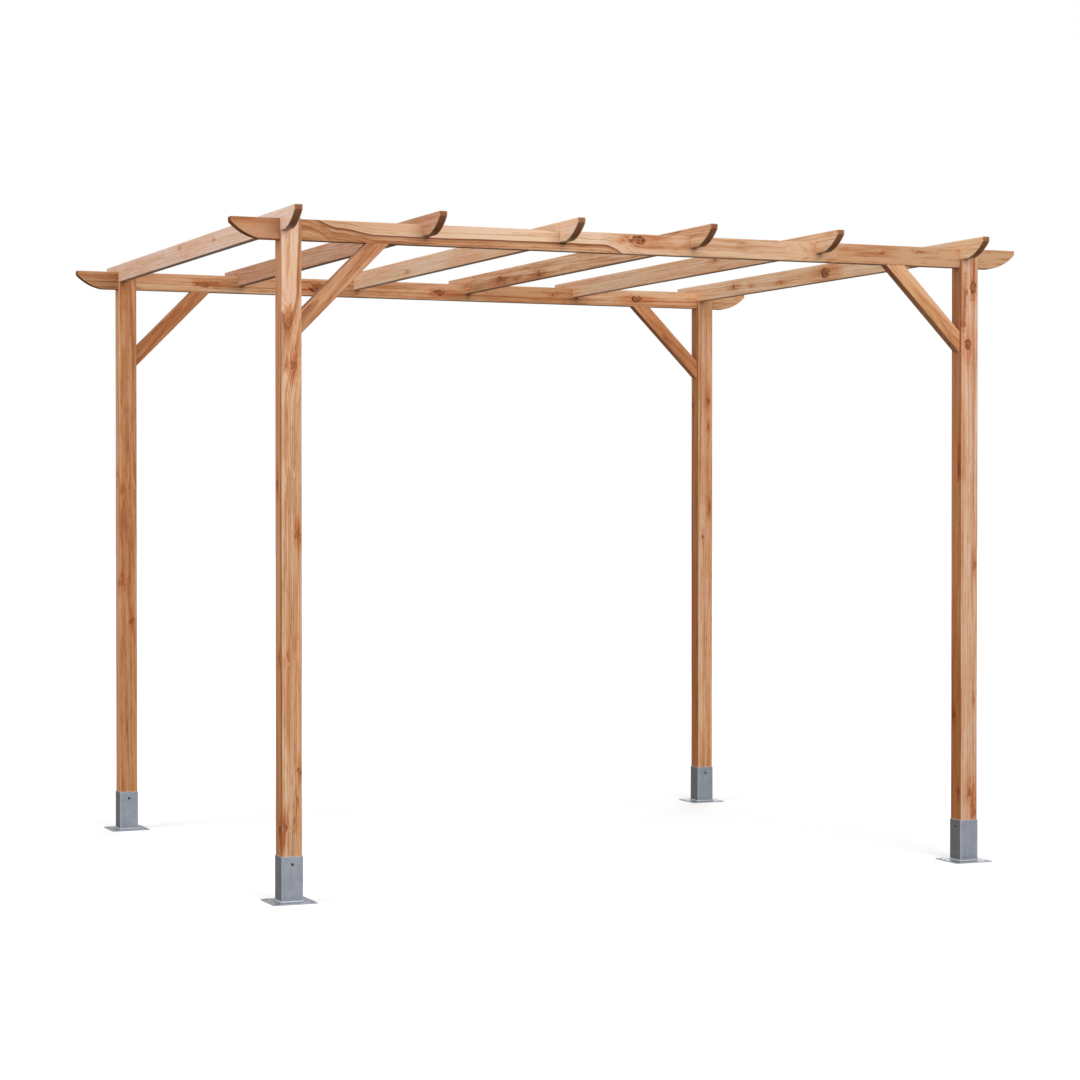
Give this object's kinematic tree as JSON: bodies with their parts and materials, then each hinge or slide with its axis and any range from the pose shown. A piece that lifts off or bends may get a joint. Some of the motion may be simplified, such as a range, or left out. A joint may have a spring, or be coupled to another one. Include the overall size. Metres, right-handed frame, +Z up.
{
  "type": "wooden pergola",
  "caption": "Open timber garden pergola: square posts in steel shoes carry two beams with knee braces and notched cross rafters with curved tails.",
  "frame": {"origin": "on the ground at the middle of the bounding box", "axes": "+X along the beams from left to right, +Y from front to back, +Z up"},
  "size_m": [3, 2.5, 2.28],
  "materials": {
    "post_timber": "planed pine with a warm brown stain, satin",
    "beam_timber": "planed glued pine with a warm brown stain, satin",
    "rafter_timber": "planed pine with a warm brown stain, satin",
    "brace_timber": "planed pine with a warm brown stain, satin",
    "galvanised_steel": "hot-dip galvanised, dull blue-grey"
  },
  "bodies": {
    "root": {"post_front_left": "post_timber", "post_front_right": "post_timber", "post_back_left": "post_timber", "post_back_right": "post_timber", "brace_front_left": "brace_timber", "brace_front_right": "brace_timber", "brace_back_left": "brace_timber", "brace_back_right": "brace_timber", "beam_front": "beam_timber", "beam_back": "beam_timber", "rafter_1": "rafter_timber", "rafter_2": "rafter_timber", "rafter_3": "rafter_timber", "rafter_4": "rafter_timber", "rafter_5": "rafter_timber", "rafter_6": "rafter_timber", "shoe_sleeve_front_left": "galvanised_steel", "shoe_sleeve_front_right": "galvanised_steel", "shoe_sleeve_back_left": "galvanised_steel", "shoe_sleeve_back_right": "galvanised_steel", "shoe_plate_front_left": "galvanised_steel", "shoe_plate_front_right": "galvanised_steel", "shoe_plate_back_left": "galvanised_steel", "shoe_plate_back_right": "galvanised_steel"}
  },
  "joints": []
}
